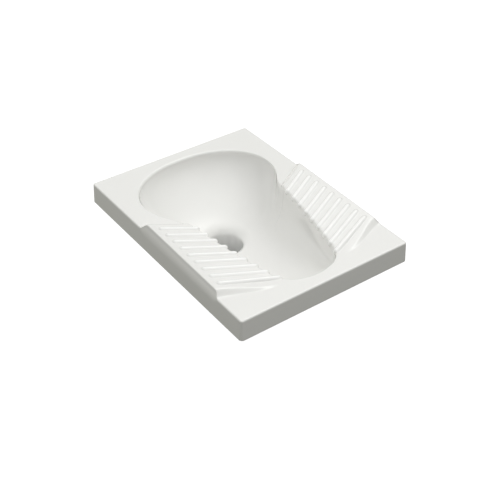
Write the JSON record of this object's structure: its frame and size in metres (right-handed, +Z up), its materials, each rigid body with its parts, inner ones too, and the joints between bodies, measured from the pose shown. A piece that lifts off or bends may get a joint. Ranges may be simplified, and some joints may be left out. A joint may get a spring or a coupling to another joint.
{
  "type": "squat toilet",
  "caption": "Floor-level squat toilet: a rectangular vitreous china pan with a keyhole bowl and two ribbed foot treads, on a plastic trap with a swivel outlet.",
  "frame": {"origin": "middle of the skirt's underside, on the floor plane that the pan is set on", "axes": "+X across the pan, +Y towards the wide back of the bowl, +Z up"},
  "size_m": [0.445, 0.605, 0.3816],
  "materials": {
    "vitreous_china": "glossy white glaze",
    "rubber": "matt black rubber",
    "trap_plastic": "satin light grey moulding",
    "cap_plastic": "satin mid grey moulding"
  },
  "bodies": {
    "pan_and_trap": {"pan": "vitreous_china", "outlet_sleeve": "rubber", "trap_inlet": "trap_plastic", "trap_bend": "trap_plastic", "swivel_socket": "trap_plastic", "swivel_ring": "rubber", "eye_washer": "rubber", "eye_cap": "cap_plastic"},
    "outlet": {"outlet_bend": "trap_plastic", "drain_ring": "rubber"}
  },
  "joints": [
    {"name": "outlet_swivel", "type": "hinge", "parent": "pan_and_trap", "child": "outlet", "pos_m": [0, 0.179, -0.185], "axis": [0, 0, 1], "range_deg": [-90, 90]}
  ]
}
